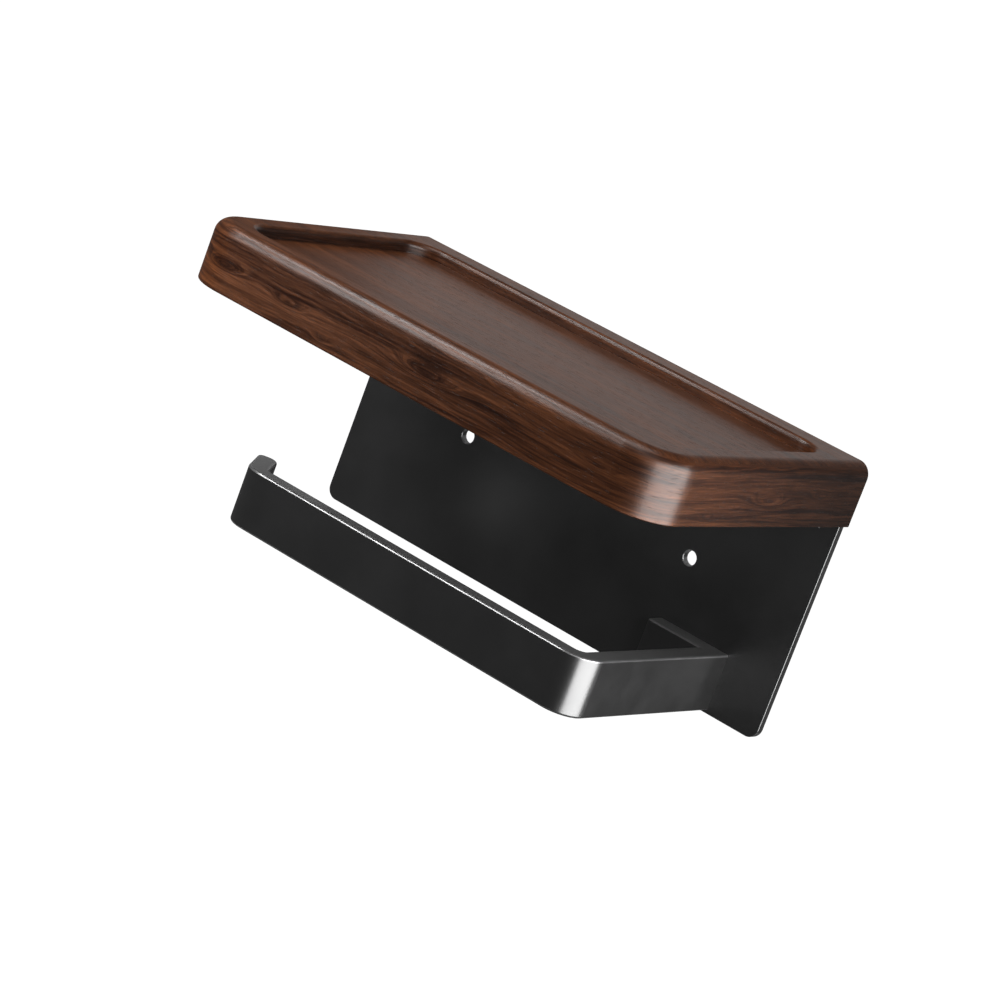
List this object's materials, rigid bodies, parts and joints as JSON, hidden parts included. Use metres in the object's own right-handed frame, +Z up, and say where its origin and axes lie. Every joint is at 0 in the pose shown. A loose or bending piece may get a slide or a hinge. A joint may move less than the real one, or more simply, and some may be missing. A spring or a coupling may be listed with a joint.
{
  "type": "toilet paper holder",
  "caption": "Wall-mounted toilet paper holder: a folded steel bracket carries a walnut tray shelf above an open-ended flat-bar roll arm.",
  "frame": {"origin": "middle of the line between the two wall screw holes, on the bracket's wall face", "axes": "+X to the right seen from the room, +Y into the wall, +Z up"},
  "size_m": [0.22, 0.134, 0.11],
  "materials": {
    "walnut": "satin oiled",
    "black_bracket": "satin black powder coat",
    "black_bar": "satin black powder coat",
    "black_screws": "black oxide"
  },
  "bodies": {
    "root": {"wood_shelf": "walnut", "wall_plate": "black_bracket", "roll_arm": "black_bar", "shelf_screw_1": "black_screws", "shelf_screw_2": "black_screws", "shelf_screw_3": "black_screws", "shelf_screw_4": "black_screws", "arm_screw_1": "black_screws", "arm_screw_2": "black_screws"}
  },
  "joints": []
}
